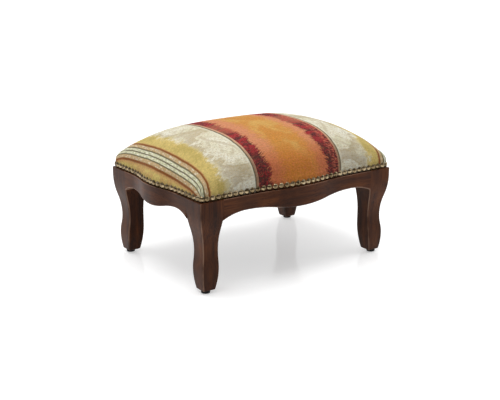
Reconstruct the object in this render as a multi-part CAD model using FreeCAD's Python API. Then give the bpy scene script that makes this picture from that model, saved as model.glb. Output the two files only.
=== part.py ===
import FreeCAD, Part
import math
import os

# Upholstered footstool with a show-wood frame: four cabriole legs, four serpentine rails with a lobed lower
# edge, a webbed seat with a foam pad, wadding and a nailed fabric cover, and a glide under each foot.
# Millimetres, +Z up, +X along the length, +Y towards the back. The origin is on the floor under the middle.

# Overall sizes
LENGTH = 450.0  # over the posts, corner to corner
DEPTH = 330.0  # over the posts, front to back
LEDGE_HEIGHT = 178.0  # floor to the top of the show wood, where the cover begins
SEAT_RISE = 93.5  # top of the show wood to the crown of the seat

# Rails
RAIL_THICKNESS = 26.0
RAIL_SWELL = 10.0  # how far the middle of a rail stands out past the posts
LONG_SWELL_REACH = 115.0  # middle of a long rail to where its swell ends
SHORT_SWELL_REACH = 85.0
REBATE_DEPTH = 6.0  # step above the show wood that takes the cover
REBATE_HEIGHT = 14.0
ARCH_DEPTH = 28.0  # rail below the ledge, at the top of its arches
LOBE_DEPTH = 38.5  # rail below the ledge, at its middle lobe
LONG_ARCH_REACH = 50.0  # post to the top of the arch
SHORT_ARCH_REACH = 36.0
RAIL_ROUND = 3.0  # rounding of the lower front edge
EDGE_EASE = 1.0  # rounding of the ledge's edge

# Legs, drawn as an outline that is sawn from two sides: insets are from the outside of the post
POST_SIDE = 50.0
POST_DEPTH = 39.0  # square post below the ledge
KNEE_DEPTH = 16.0  # straight outer face below the ledge
ANKLE_HEIGHT = 80.0
ANKLE_INSET = 11.6
TOE_HEIGHT = 40.0
TOE_INSET = 8.2
SOLE_INSET = 12.0
SHIN_HEIGHT = 85.0  # top of the straight stretch inside the leg
CALF_HEIGHT = 62.0  # bottom of that stretch
CALF_INSET = 45.0
SOLE_INNER_INSET = 38.0
LEG_ROUND = 3.0
SOLE_CHAMFER = 1.2

# Glides
GLIDE_HEIGHT = 6.0
GLIDE_DIAMETER = 17.0
GLIDE_INSET = 23.25  # outside of the post to the glide's middle
GLIDE_ROUND = 1.2
GLIDE_PIN_DIAMETER = 3.0
GLIDE_PIN_LENGTH = 18.0
GLIDE_HEAD_DIAMETER = 8.0
GLIDE_HEAD_HEIGHT = 1.5

# Dowels
DOWEL_DIAMETER = 8.0
DOWEL_LENGTH = 40.0
DOWEL_SPACING = 17.0
DOWEL_DROP = 1.0  # ledge to the middle of the upper dowel
DOWEL_END_GAP = 1.0

# Corner braces and their screws
BRACE_REACH = 50.0  # along each rail, from the corner where the rails' inner faces would meet
BRACE_WIDTH = 30.0  # along each rail
BRACE_HEIGHT = 22.0
BRACE_DROP = 6.0  # rail top to brace top
SCREW_DIAMETER = 4.0
SCREW_BITE = 16.0  # length in the rail or post
SCREW_HEAD_DIAMETER = 8.0
SCREW_HEAD_HEIGHT = 2.5
SCREW_COVER = 8.0  # wood under the head

# Seat webbing
WEBBING_WIDTH = 50.0
WEBBING_THICKNESS = 1.6
WEBBING_GAP = 0.2  # between straps that cross
LONG_STRAPS = 3
SHORT_STRAPS = 4
STAPLE_CROWN = 10.0
STAPLE_WIRE = 1.0
STAPLE_LEG = 8.0
STAPLE_SPACING = 22.0
STAPLE_END = 7.0  # strap end to staple

# Padding and cover
BURLAP_THICKNESS = 0.8
WADDING_THICKNESS = 8.0
COVER_THICKNESS = 1.5
COVER_CORNER = 7.0  # radius of the nailed edge at the corners
COVER_WALL = 17.0  # upright edge of the cover above the ledge, before the crown begins
LONG_CROWN = (2.7, 2.87)  # powers of the crown's section along X
SHORT_CROWN = (2.14, 2.84)  # powers of the crown's section along Y
CROWN_STEPS = 11  # sections of the crown, closer together towards its top
SEAT_GAP = 0.2  # between layers of the seat that only touch

# Upholstery nails
NAIL_HEAD_DIAMETER = 11.0
NAIL_DOME = 3.4
NAIL_RIM = 0.5
NAIL_PITCH = 12.4  # about; each side is divided evenly
NAIL_RISE = 6.2  # ledge to the nail's middle
NAIL_END = 12.5  # last nail of a side to the corner of the cover
NAIL_SHANK_DIAMETER = 1.8
NAIL_LENGTH = 8.0
NAIL_SEAT = 0.1  # flat head over a swelling rail

# Dust cover under the seat
DUST_THICKNESS = 0.6
DUST_FLANGE = 9.0
DUST_DEPTH = 23.0  # ledge to the underside of the sheet
DUST_STAPLE_PITCH = 70.0

FIT = 0.05  # radial clearance of dowels, pins, screws and nails in their holes
NEAR = 0.01  # how close an edge lies to the plane that it is looked for on

# Derived heights and places
rail_top = LEDGE_HEIGHT + REBATE_HEIGHT
spring_height = LEDGE_HEIGHT - POST_DEPTH
crown_start = LEDGE_HEIGHT + COVER_WALL
crown_top = LEDGE_HEIGHT + SEAT_RISE
foot_bottom = GLIDE_HEIGHT
dowel_inset = (REBATE_DEPTH + RAIL_THICKNESS) / 2
cover_inset = REBATE_DEPTH - SEAT_GAP - COVER_THICKNESS
pad_inset = cover_inset + COVER_THICKNESS + WADDING_THICKNESS
strap_low = rail_top
strap_high = rail_top + WEBBING_THICKNESS + WEBBING_GAP
burlap_bottom = strap_high + WEBBING_THICKNESS + WEBBING_GAP
foam_bottom = burlap_bottom + BURLAP_THICKNESS + SEAT_GAP
brace_top = rail_top - BRACE_DROP

Z_AXIS = FreeCAD.Vector(0, 0, 1)

# Each side of the stool: turn about Z, distance from the middle, length over the posts, swell and arch reach
SIDES = {
    "front": (0, DEPTH / 2, LENGTH, LONG_SWELL_REACH, LONG_ARCH_REACH),
    "right": (90, LENGTH / 2, DEPTH, SHORT_SWELL_REACH, SHORT_ARCH_REACH),
    "back": (180, DEPTH / 2, LENGTH, LONG_SWELL_REACH, LONG_ARCH_REACH),
    "left": (270, LENGTH / 2, DEPTH, SHORT_SWELL_REACH, SHORT_ARCH_REACH),
}

# Each corner: turn about Z, and the corner's place
CORNERS = {
    "front_left": (0, -LENGTH / 2, -DEPTH / 2),
    "front_right": (90, LENGTH / 2, -DEPTH / 2),
    "back_right": (180, LENGTH / 2, DEPTH / 2),
    "back_left": (270, -LENGTH / 2, DEPTH / 2),
}


# Outlines: a segment is (start, middle or None, end), with two numbers each, the first of them
# along the outline's run

def line(start, end):
    return [(start, None, end)]


def arc_from(start, end):
    """An arc that leaves start along the first axis and reaches end."""
    along, across = end[0] - start[0], end[1] - start[1]
    turn = 2 * math.atan2(across, abs(along))
    radius = abs(along) / math.sin(turn)
    sign = math.copysign(1, along)
    middle = (start[0] + sign * radius * math.sin(turn / 2), start[1] + radius * (1 - math.cos(turn / 2)))
    return [(start, middle, end)]


def backwards(segments):
    return [(end, middle, start) for start, middle, end in reversed(segments)]


def s_curve(start, end):
    """Two equal arcs that leave start and reach end along the first axis."""
    middle = ((start[0] + end[0]) / 2, (start[1] + end[1]) / 2)
    return arc_from(start, middle) + backwards(arc_from(end, middle))


def make_wire(segments, place):
    edges = []
    for start, middle, end in segments:
        if middle is None:
            edges.append(Part.LineSegment(place(start), place(end)).toShape())
        else:
            edges.append(Part.Arc(place(start), place(middle), place(end)).toShape())
    return Part.Wire(edges)


def make_face(segments, place):
    return Part.Face(make_wire(segments, place))


def prism(segments, low, high):
    """An outline in X and Y, stood up from low to high."""
    face = make_face(segments, lambda p: FreeCAD.Vector(p[0], p[1], low))
    return face.extrude(FreeCAD.Vector(0, 0, high - low))


def polygon(points):
    return [(a, None, b) for a, b in zip(points, points[1:] + points[:1])]


def box_between(low, high):
    size = [b - a for a, b in zip(low, high)]
    return Part.makeBox(*size, FreeCAD.Vector(*low))


def cylinder(diameter, start, end):
    start, end = FreeCAD.Vector(*start), FreeCAD.Vector(*end)
    return Part.makeCylinder(diameter / 2, (end - start).Length, start, end - start)


def placed(shape, turn, x, y):
    moved = shape.copy()
    moved.rotate(FreeCAD.Vector(0, 0, 0), Z_AXIS, turn)
    moved.translate(FreeCAD.Vector(x, y, 0))
    return moved


def on_side(shape, side):
    """Moves a shape made with the outside of its rail along X at y = 0, facing -Y."""
    turn, distance = SIDES[side][:2]
    angle = math.radians(turn)
    return placed(shape, turn, distance * math.sin(angle), -distance * math.cos(angle))


def on_corner(shape, corner):
    """Moves a shape made with the outer corner of its post at the origin, towards +X and +Y."""
    return placed(shape, *CORNERS[corner])


def one_solid(shape):
    """The only solid of a boolean's result, with split faces joined."""
    joined = shape.removeSplitter()
    return joined.Solids[0] if len(joined.Solids) == 1 else joined


# The swell of a rail

def swell_segments(half_length, reach, inset):
    """The outside of a rail in plan, from -X to +X, moved inwards by inset."""
    tip = inset - RAIL_SWELL
    quarter = reach / 2
    bend = s_curve((0, tip), (reach, inset))
    return (
        line((-half_length, inset), (-reach, inset))
        + backwards([mirror_segment(bend[1])])
        + [((-quarter, bend[0][2][1]), (0, tip), (quarter, bend[0][2][1]))]
        + [bend[1]]
        + line((reach, inset), (half_length, inset))
    )


def mirror_segment(segment):
    return tuple(None if p is None else (-p[0], p[1]) for p in segment)


def swell_at(u, reach):
    """How far the rail stands out at u, and the slope of its face there."""
    half = reach / 2
    turn = 2 * math.atan2(RAIL_SWELL / 2, half)
    radius = half / math.sin(turn)
    u_abs = abs(u)
    if u_abs >= reach:
        return 0.0, 0.0
    near_end = u_abs > half
    run = reach - u_abs if near_end else u_abs
    rise = radius - math.sqrt(radius**2 - run**2)
    slope = run / math.sqrt(radius**2 - run**2)
    out = rise if near_end else RAIL_SWELL - rise
    return out, math.copysign(slope, u)


# Fastener places that pierce more than one piece

def nail_places(side):
    """(place along the side, how far the rail stands out there, its angle in degrees) of each nail."""
    _, _, length, reach, _ = SIDES[side]
    run = length - 2 * (cover_inset + NAIL_END)
    steps = round(run / NAIL_PITCH)
    places = []
    for i in range(steps + 1):
        u = (i / steps - 0.5) * run
        out, slope = swell_at(u, reach)
        places.append((u, out, math.degrees(math.atan(slope))))
    return places


def at_nail(shape, side, place):
    u, out, angle = place
    moved = shape.copy()
    moved.rotate(FreeCAD.Vector(0, 0, 0), Z_AXIS, angle)
    moved.translate(FreeCAD.Vector(u, cover_inset - out - NAIL_SEAT, LEDGE_HEIGHT + NAIL_RISE))
    return on_side(moved, side)


def at_corner_nail(shape, corner):
    """Moves a nail to the middle of the cover's rounded corner, facing out between its two sides."""
    reach = cover_inset + COVER_CORNER * (1 - math.sqrt(0.5)) - NAIL_SEAT * math.sqrt(0.5)
    moved = shape.copy()
    moved.rotate(FreeCAD.Vector(0, 0, 0), Z_AXIS, -45)
    moved.translate(FreeCAD.Vector(reach, reach, LEDGE_HEIGHT + NAIL_RISE))
    return on_corner(moved, corner)


def nail_shape():
    """A domed head facing -Y, with its flat underside at y = 0, on a round shank."""
    radius, shank = NAIL_HEAD_DIAMETER / 2, NAIL_SHANK_DIAMETER / 2
    rim = (radius, -NAIL_RIM)
    top = (0, -NAIL_DOME)
    outline = (
        line((0, NAIL_LENGTH), (shank, NAIL_LENGTH - NAIL_SHANK_DIAMETER))
        + line((shank, NAIL_LENGTH - NAIL_SHANK_DIAMETER), (shank, 0))
        + line((shank, 0), (radius, 0))
        + line((radius, 0), rim)
        + backwards(arc_from(top, rim))
        + line(top, (0, NAIL_LENGTH))
    )
    face = make_face(outline, lambda p: FreeCAD.Vector(p[0], p[1], 0))
    return face.revolve(FreeCAD.Vector(0, 0, 0), FreeCAD.Vector(0, 1, 0), 360)


def nail_hole():
    return cylinder(NAIL_SHANK_DIAMETER + 2 * FIT, (0, -NAIL_DOME, 0), (0, NAIL_LENGTH + FIT, 0))


def all_nails(shape):
    on_sides = [at_nail(shape, side, place) for side in SIDES for place in nail_places(side)]
    return on_sides + [at_corner_nail(shape, corner) for corner in CORNERS]


def dowel_heights():
    upper = LEDGE_HEIGHT - DOWEL_DROP
    return upper, upper - DOWEL_SPACING


def dowels_on_side(side, diameter, length):
    """Round bars across both ends of a rail, in the rail's own frame."""
    half = SIDES[side][2] / 2 - POST_SIDE
    bars = []
    for end in (-half, half):
        for height in dowel_heights():
            start, stop = (end - length / 2, dowel_inset, height), (end + length / 2, dowel_inset, height)
            bars.append(cylinder(diameter, start, stop))
    return bars


def dowel_set(diameter, length):
    return [on_side(bar, side) for side in SIDES for bar in dowels_on_side(side, diameter, length)]


def screw_shape(head, tip, extra=0.0):
    """A screw from the underside of its head to its tip; extra widens and lengthens it into its hole."""
    head, tip = FreeCAD.Vector(*head), FreeCAD.Vector(*tip)
    along = (tip - head).normalize()
    shank = cylinder(SCREW_DIAMETER + 2 * extra, head, tip + along * extra)
    outer = cylinder(SCREW_HEAD_DIAMETER + 2 * extra, head - along * SCREW_HEAD_HEIGHT, head)
    return shank.fuse(outer)


def brace_screws():
    """Head and tip of each screw of a brace, in the post's frame: two in the rails, one in the post."""
    height = brace_top - BRACE_HEIGHT / 2
    across = RAIL_THICKNESS + BRACE_REACH + BRACE_WIDTH / 2
    head, tip = RAIL_THICKNESS + SCREW_COVER, RAIL_THICKNESS - SCREW_BITE
    step = SCREW_COVER / math.sqrt(2)
    bite = SCREW_BITE / math.sqrt(2)
    face = RAIL_THICKNESS + BRACE_REACH / 2
    return [
        ((across, head, height), (across, tip, height)),
        ((head, across, height), (tip, across, height)),
        ((face + step, face + step, height), (POST_SIDE - bite, POST_SIDE - bite, height)),
    ]


def screw_set(extra=0.0):
    return [on_corner(screw_shape(*ends, extra), corner) for corner in CORNERS for ends in brace_screws()]


def screw_ways():
    """The drilled way of each screw's head out of its brace."""
    ways = []
    for corner in CORNERS:
        for head, tip in brace_screws():
            start = FreeCAD.Vector(*head)
            out = (start - FreeCAD.Vector(*tip)).normalize()
            way = cylinder(SCREW_HEAD_DIAMETER + 2 * FIT, start, start + out * BRACE_WIDTH)
            ways.append(on_corner(way, corner))
    return ways


def staple_shape():
    """A staple with its crown along X on z = 0 and its legs down."""
    half, wire = STAPLE_CROWN / 2, STAPLE_WIRE
    crown = box_between((-half, -wire / 2, 0), (half, wire / 2, wire))
    legs = [
        box_between((x, -wire / 2, -STAPLE_LEG), (x + wire, wire / 2, 0)) for x in (-half, half - wire)
    ]
    return crown.multiFuse(legs).removeSplitter()


def strap_runs():
    """(along X or Y, place across, half length, crossing places) of each webbing strap."""
    def places(count, room):
        return [(i - (count - 1) / 2) * room / count for i in range(count)]

    long_places = places(LONG_STRAPS, DEPTH - 2 * RAIL_THICKNESS)
    short_places = places(SHORT_STRAPS, LENGTH - 2 * RAIL_THICKNESS)
    end = pad_inset + SEAT_GAP
    runs = [("x", y, LENGTH / 2 - end, short_places) for y in long_places]
    return runs + [("y", x, DEPTH / 2 - end, long_places) for x in short_places]


def webbing_staples():
    staples = []
    for axis, across, half, _ in strap_runs():
        for end in (-1, 1):
            for shift in (-STAPLE_SPACING / 2, STAPLE_SPACING / 2):
                staple = staple_shape()
                staple.rotate(FreeCAD.Vector(0, 0, 0), Z_AXIS, 90)
                along = end * (half - STAPLE_END)
                staple.translate(FreeCAD.Vector(along, shift, strap_low + WEBBING_THICKNESS))
                staples.append(across_seat(staple, axis, across))
    return staples


def across_seat(shape, axis, across):
    """Moves a shape made along X to its strap's place."""
    moved = shape.copy()
    if axis == "y":
        moved.rotate(FreeCAD.Vector(0, 0, 0), Z_AXIS, 90)
        moved.translate(FreeCAD.Vector(across, 0, 0))
    else:
        moved.translate(FreeCAD.Vector(0, across, 0))
    return moved


def dust_staples():
    """Staples through the dust cover's turned-up edge into the inside of each rail."""
    staples = []
    height = LEDGE_HEIGHT - DUST_DEPTH + DUST_FLANGE / 2
    for side, (_, _, length, _, _) in SIDES.items():
        room = length - 2 * POST_SIDE
        count = max(1, int(room / DUST_STAPLE_PITCH))
        for i in range(count):
            staple = staple_shape()
            staple.rotate(FreeCAD.Vector(0, 0, 0), FreeCAD.Vector(1, 0, 0), -90)
            u = (i - (count - 1) / 2) * room / count
            staple.translate(FreeCAD.Vector(u, RAIL_THICKNESS + SEAT_GAP + DUST_THICKNESS, height))
            staples.append(on_side(staple, side))
    return staples


# Frame pieces

def leg_outline():
    """Half of the leg's pattern in (height, inset): the outside up, the post, and the inside down."""
    sole, sole_inner = (foot_bottom, SOLE_INSET), (foot_bottom, SOLE_INNER_INSET)
    toe, ankle = (TOE_HEIGHT, TOE_INSET), (ANKLE_HEIGHT, ANKLE_INSET)
    knee, ledge = (LEDGE_HEIGHT - KNEE_DEPTH, 0), (LEDGE_HEIGHT, 0)
    step, top = (LEDGE_HEIGHT, REBATE_DEPTH), (rail_top, REBATE_DEPTH)
    post_top, spring = (rail_top, POST_SIDE), (spring_height, POST_SIDE)
    shin, calf = (SHIN_HEIGHT, CALF_INSET), (CALF_HEIGHT, CALF_INSET)
    return (
        backwards(arc_from(toe, sole))
        + s_curve(toe, ankle)
        + s_curve(ankle, knee)
        + line(knee, ledge)
        + line(ledge, step)
        + line(step, top)
        + line(top, post_top)
        + line(post_top, spring)
        + backwards(arc_from(shin, spring))
        + line(shin, calf)
        + arc_from(calf, sole_inner)
        + line(sole_inner, sole)
    )


def long_edges(shape, low, high):
    """Edges that run up between two heights and don't lie flat at either of them."""
    found = []
    for edge in shape.Edges:
        box = edge.BoundBox
        if box.ZLength > NEAR and box.ZMin > low - NEAR and box.ZMax < high + NEAR:
            found.append(edge)
    return found


def leg_blank():
    """The leg sawn from two sides, its post at the origin."""
    outline = leg_outline()
    from_front = make_face(outline, lambda p: FreeCAD.Vector(p[1], 0, p[0]))
    from_side = make_face(outline, lambda p: FreeCAD.Vector(0, p[1], p[0]))
    sawn = from_front.extrude(FreeCAD.Vector(0, POST_SIDE, 0))
    return sawn.common(from_side.extrude(FreeCAD.Vector(POST_SIDE, 0, 0)))


def on_outer_corner(edge):
    middle = edge.CenterOfMass
    return abs(middle.x - middle.y) < NEAR and middle.x < POST_SIDE / 2


def ledge_edges(shape, outside):
    """Edges on top of the show wood whose middle lies outside the rebate."""
    found = []
    for edge in shape.Edges:
        box = edge.BoundBox
        flat = abs(box.ZMin - LEDGE_HEIGHT) < NEAR and abs(box.ZMax - LEDGE_HEIGHT) < NEAR
        if flat and outside(edge.CenterOfMass):
            found.append(edge)
    return found


def leg_shape():
    blank = leg_blank()
    wide = 2 * POST_SIDE
    cutter = box_between((-wide, -wide, spring_height), (wide, wide, 2 * rail_top))
    shin = blank.cut(cutter)
    post = blank.common(cutter)
    shin = shin.makeFillet(LEG_ROUND, long_edges(shin, foot_bottom, spring_height))
    sole = [e for e in shin.Edges if e.BoundBox.ZMax < foot_bottom + NEAR]
    shin = shin.makeChamfer(SOLE_CHAMFER, sole)
    corner = [e for e in long_edges(post, spring_height, LEDGE_HEIGHT) if on_outer_corner(e)]
    post = post.makeFillet(LEG_ROUND, corner)
    post = post.makeFillet(EDGE_EASE, ledge_edges(post, lambda m: min(m.x, m.y) < LEG_ROUND))
    tenon = [e for e in long_edges(post, LEDGE_HEIGHT, rail_top) if on_outer_corner(e)]
    post = post.makeFillet(COVER_CORNER - COVER_THICKNESS, tenon)
    return one_solid(shin.fuse(post))


def rail_outline(half, arch_reach):
    """A rail's elevation in (along, height), with arches beside the posts and a lobe in the middle."""
    spring = (half, spring_height)
    arch = (half - arch_reach, LEDGE_HEIGHT - ARCH_DEPTH)
    lobe = (0, LEDGE_HEIGHT - LOBE_DEPTH)
    right = s_curve(lobe, arch) + arc_from(arch, spring)
    left = backwards([mirror_segment(s) for s in right])
    top_right, top_left = (half, rail_top), (-half, rail_top)
    upper = line(spring, top_right) + line(top_right, top_left) + line(top_left, (-half, spring_height))
    return left + right + upper


def rail_plan(half, reach, inset):
    inner = [(half, inset), (half, RAIL_THICKNESS), (-half, RAIL_THICKNESS), (-half, inset)]
    back = [(a, None, b) for a, b in zip(inner, inner[1:])]
    return swell_segments(half, reach, inset) + back


def rail_shape(side):
    _, _, length, reach, arch_reach = SIDES[side]
    half = length / 2 - POST_SIDE
    body = prism(rail_plan(half, reach, 0), 0, LEDGE_HEIGHT)
    upper = prism(rail_plan(half, reach, REBATE_DEPTH), LEDGE_HEIGHT, rail_top)
    ahead = -2 * RAIL_SWELL
    elevation = make_face(rail_outline(half, arch_reach), lambda p: FreeCAD.Vector(p[0], ahead, p[1]))
    sawn = body.fuse(upper).common(elevation.extrude(FreeCAD.Vector(0, RAIL_THICKNESS - ahead, 0)))
    rail = one_solid(sawn)
    front = [e for e in rail.Edges if e.CenterOfMass.y < NEAR and e.BoundBox.XLength > NEAR]
    lower = [e for e in front if e.BoundBox.ZMax < LEDGE_HEIGHT - NEAR]
    rail = rail.makeFillet(RAIL_ROUND, lower)
    face = prism(rail_plan(half, reach, EDGE_EASE), 0, rail_top)
    return rail.makeFillet(EDGE_EASE, ledge_edges(rail, lambda m: not face.isInside(m, NEAR, True)))


def brace_shape():
    """A corner brace in the post's frame, mitred against the two rails."""
    inner, near, far = RAIL_THICKNESS, BRACE_REACH, BRACE_REACH + BRACE_WIDTH
    points = [(inner + near, inner), (inner + far, inner), (inner, inner + far), (inner, inner + near)]
    return prism(polygon(points), brace_top - BRACE_HEIGHT, brace_top)


def glide_shape():
    """A plastic disc under the foot, its lower edge rounded."""
    disc = cylinder(GLIDE_DIAMETER, (GLIDE_INSET, GLIDE_INSET, 0), (GLIDE_INSET, GLIDE_INSET, GLIDE_HEIGHT))
    lower = [e for e in disc.Edges if e.BoundBox.ZMax < NEAR]
    return disc.makeFillet(GLIDE_ROUND, lower)


def glide_pin(extra=0.0):
    """The steel pin that holds a glide, its head sunk in the plastic."""
    head_bottom = GLIDE_HEIGHT / 2 - GLIDE_HEAD_HEIGHT / 2 - extra
    head_top = GLIDE_HEIGHT / 2 + GLIDE_HEAD_HEIGHT / 2 + extra
    at = GLIDE_INSET
    head = cylinder(GLIDE_HEAD_DIAMETER + 2 * extra, (at, at, head_bottom), (at, at, head_top))
    shank_top = GLIDE_HEIGHT + GLIDE_PIN_LENGTH + extra
    return head.fuse(cylinder(GLIDE_PIN_DIAMETER + 2 * extra, (at, at, head_top), (at, at, shank_top)))


# Seat pieces

def strap_shape(axis, across, half, crossings, over_first):
    """A webbing strap that passes over and under the straps that it crosses."""
    flat = WEBBING_WIDTH / 2 + WEBBING_THICKNESS
    path = [(-half, strap_low)]
    for i, place in enumerate(crossings):
        over = (i % 2 == 0) == over_first
        height = strap_high if over else strap_low
        path += [(place - flat, height), (place + flat, height)]
    path.append((half, strap_low))
    path.insert(1, (-half + 2 * STAPLE_END, strap_low))
    path.insert(-1, (half - 2 * STAPLE_END, strap_low))
    upper = [(x, z + WEBBING_THICKNESS) for x, z in path]
    outline = polygon(path + upper[::-1])
    face = make_face(outline, lambda p: FreeCAD.Vector(p[0], -WEBBING_WIDTH / 2, p[1]))
    return across_seat(face.extrude(FreeCAD.Vector(0, WEBBING_WIDTH, 0)), axis, across)


def crown_share(x, y, level):
    """The share of the way from the middle to (x, y), on the seat's edge, where the crown has that level."""
    (x_power, x_root), (y_power, y_root) = LONG_CROWN, SHORT_CROWN
    low, high = 0.0, 1.0
    for _ in range(50):
        share = (low + high) / 2
        along = max(0.0, 1 - abs(share * x) ** x_power) ** (1 / x_root)
        across = max(0.0, 1 - abs(share * y) ** y_power) ** (1 / y_root)
        if along * across > level:
            low = share
        else:
            high = share
    return low


def seat_segments(inset, corner):
    """The seat's outline in plan, all round, with its corners rounded."""
    segments = []
    for turn, distance, length, reach, _ in SIDES.values():
        half = length / 2 - inset
        angle = math.radians(turn)
        cos, sin = math.cos(angle), math.sin(angle)
        side = swell_segments(half - corner, reach, inset)
        lean = corner * (1 - math.sqrt(0.5))
        side += [((half - corner, inset), (half - lean, inset + lean), (half, inset + corner))]

        def turned(point):
            if point is None:
                return None
            x, y = point[0], point[1] - distance
            return x * cos - y * sin, x * sin + y * cos

        segments += [tuple(turned(point) for point in segment) for segment in side]
    return segments


def crown_wire(inset, corner, level, height):
    """The seat's outline at a level of the crown, each point moved in along its ray from the middle."""
    half_x, half_y = LENGTH / 2 - inset, DEPTH / 2 - inset

    def moved(point):
        x, y = point
        swell_x = max(0.0, abs(x) - half_x) * level
        swell_y = max(0.0, abs(y) - half_y) * level
        x -= math.copysign(swell_x, x)
        y -= math.copysign(swell_y, y)
        edge = max(abs(x) / half_x, abs(y) / half_y)
        share = crown_share(x / half_x / edge, y / half_y / edge, level)
        return x * share, y * share

    segments = []
    for start, middle, end in seat_segments(inset, corner):
        if middle is None:
            middle = ((start[0] + end[0]) / 2, (start[1] + end[1]) / 2)
        start, middle, end = moved(start), moved(middle), moved(end)
        bend = (middle[0] - start[0]) * (end[1] - start[1]) - (middle[1] - start[1]) * (end[0] - start[0])
        segments.append((start, middle if abs(bend) > 1e-6 else None, end))
    return make_wire(segments, lambda p: FreeCAD.Vector(p[0], p[1], height))


def crowned_solid(inset, corner, bottom, drop):
    """The seat's crowned form, moved in by inset and down by drop, from its flat bottom up."""
    rise = crown_top - drop - crown_start
    levels = [1 - (1 - step / CROWN_STEPS) ** 2 for step in range(CROWN_STEPS)]
    wires = [crown_wire(inset, corner, level, crown_start + level * rise) for level in levels]
    crown = Part.makeLoft(wires, True, False)
    wall = prism(seat_segments(inset, corner), spring_height, crown_start)
    below = box_between((-LENGTH, -DEPTH, 0), (LENGTH, DEPTH, bottom))
    return one_solid(wall.fuse(crown).cut(below))


def foam_form(bottom):
    return crowned_solid(pad_inset, COVER_CORNER, bottom, COVER_THICKNESS + WADDING_THICKNESS)


def wadding_form(bottom):
    return crowned_solid(cover_inset + COVER_THICKNESS, COVER_CORNER, bottom, COVER_THICKNESS)


def cover_form(bottom):
    return crowned_solid(cover_inset, COVER_CORNER, bottom, 0.0)


def cover_shape():
    hollow = wadding_form(spring_height)
    shell = cover_form(LEDGE_HEIGHT + SEAT_GAP).cut(hollow)
    return shell.cut(Part.makeCompound(all_nails(nail_hole())))


def burlap_shape():
    half_x, half_y = LENGTH / 2 - pad_inset - SEAT_GAP, DEPTH / 2 - pad_inset - SEAT_GAP
    return box_between((-half_x, -half_y, burlap_bottom), (half_x, half_y, burlap_bottom + BURLAP_THICKNESS))


def dust_cover_shape():
    """A thin sheet between the rails, its edges turned up against them, its corners cut out at the posts."""
    bottom = LEDGE_HEIGHT - DUST_DEPTH
    half_x = LENGTH / 2 - RAIL_THICKNESS - SEAT_GAP
    half_y = DEPTH / 2 - RAIL_THICKNESS - SEAT_GAP
    tray = box_between((-half_x, -half_y, bottom), (half_x, half_y, bottom + DUST_FLANGE))
    inner_x, inner_y = half_x - DUST_THICKNESS, half_y - DUST_THICKNESS
    inside = box_between((-inner_x, -inner_y, bottom + DUST_THICKNESS), (inner_x, inner_y, LEDGE_HEIGHT))
    tray = tray.cut(inside)
    post_x = LENGTH / 2 - POST_SIDE - SEAT_GAP
    post_y = DEPTH / 2 - POST_SIDE - SEAT_GAP
    for x_sign in (-1, 1):
        for y_sign in (-1, 1):
            xs, ys = sorted((x_sign * post_x, x_sign * LENGTH)), sorted((y_sign * post_y, y_sign * LENGTH))
            tray = tray.cut(box_between((xs[0], ys[0], 0), (xs[1], ys[1], LEDGE_HEIGHT)))
    return tray


# Assembly

def build():
    """Every piece by its node's name."""
    nodes = {}
    bored_dowels = dowel_set(DOWEL_DIAMETER + 2 * FIT, DOWEL_LENGTH + 2 * DOWEL_END_GAP)
    bored_screws = screw_set(FIT)
    nail_holes = all_nails(nail_hole())
    staples = webbing_staples()
    flange_staples = dust_staples()
    bores = Part.makeCompound(bored_dowels + bored_screws + nail_holes + staples + flange_staples)
    leg = leg_shape().cut(glide_pin(FIT))
    for corner in CORNERS:
        nodes["leg_" + corner] = on_corner(leg, corner).cut(bores)
        nodes["glide_" + corner] = on_corner(glide_shape().cut(glide_pin(FIT)), corner)
    for side in SIDES:
        nodes["rail_" + side] = on_side(rail_shape(side), side).cut(bores)
    brace_bores = Part.makeCompound(bored_screws + screw_ways())
    for corner in CORNERS:
        nodes["corner_brace_" + corner] = on_corner(brace_shape(), corner).cut(brace_bores)
    nodes["dowels"] = Part.makeCompound(dowel_set(DOWEL_DIAMETER, DOWEL_LENGTH))
    nodes["brace_screws"] = Part.makeCompound(screw_set())
    nodes["glide_pins"] = Part.makeCompound([on_corner(glide_pin(), corner) for corner in CORNERS])
    counts = {"x": 0, "y": 0}
    names = {"x": "webbing_long_", "y": "webbing_short_"}
    staple_bores = Part.makeCompound(staples)
    for axis, across, half, crossings in strap_runs():
        counts[axis] += 1
        over_first = (counts[axis] % 2 == 1) == (axis == "x")
        strap = strap_shape(axis, across, half, crossings, over_first)
        nodes[names[axis] + str(counts[axis])] = strap.cut(staple_bores)
    nodes["webbing_staples"] = Part.makeCompound(staples)
    nodes["burlap"] = burlap_shape()
    nodes["foam_pad"] = foam_form(foam_bottom)
    nodes["wadding"] = wadding_form(rail_top + SEAT_GAP).cut(foam_form(spring_height))
    nodes["seat_cover"] = cover_shape()
    nodes["upholstery_nails"] = Part.makeCompound(all_nails(nail_shape()))
    nodes["dust_cover"] = dust_cover_shape().cut(Part.makeCompound(flange_staples))
    nodes["dust_cover_staples"] = Part.makeCompound(flange_staples)
    return nodes


def main():
    os.makedirs("parts", exist_ok=True)
    for name, shape in build().items():
        solids = shape.Solids
        volume = round(sum(s.Volume for s in solids) / 1000, 2)
        print(name, len(solids), "solids", volume, "cm3", shape.isValid())
        shape.exportStep(os.path.join("parts", name + ".step"))


main()
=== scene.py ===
import math

import bpy
import numpy as np
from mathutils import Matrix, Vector
from mathutils.kdtree import KDTree


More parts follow.
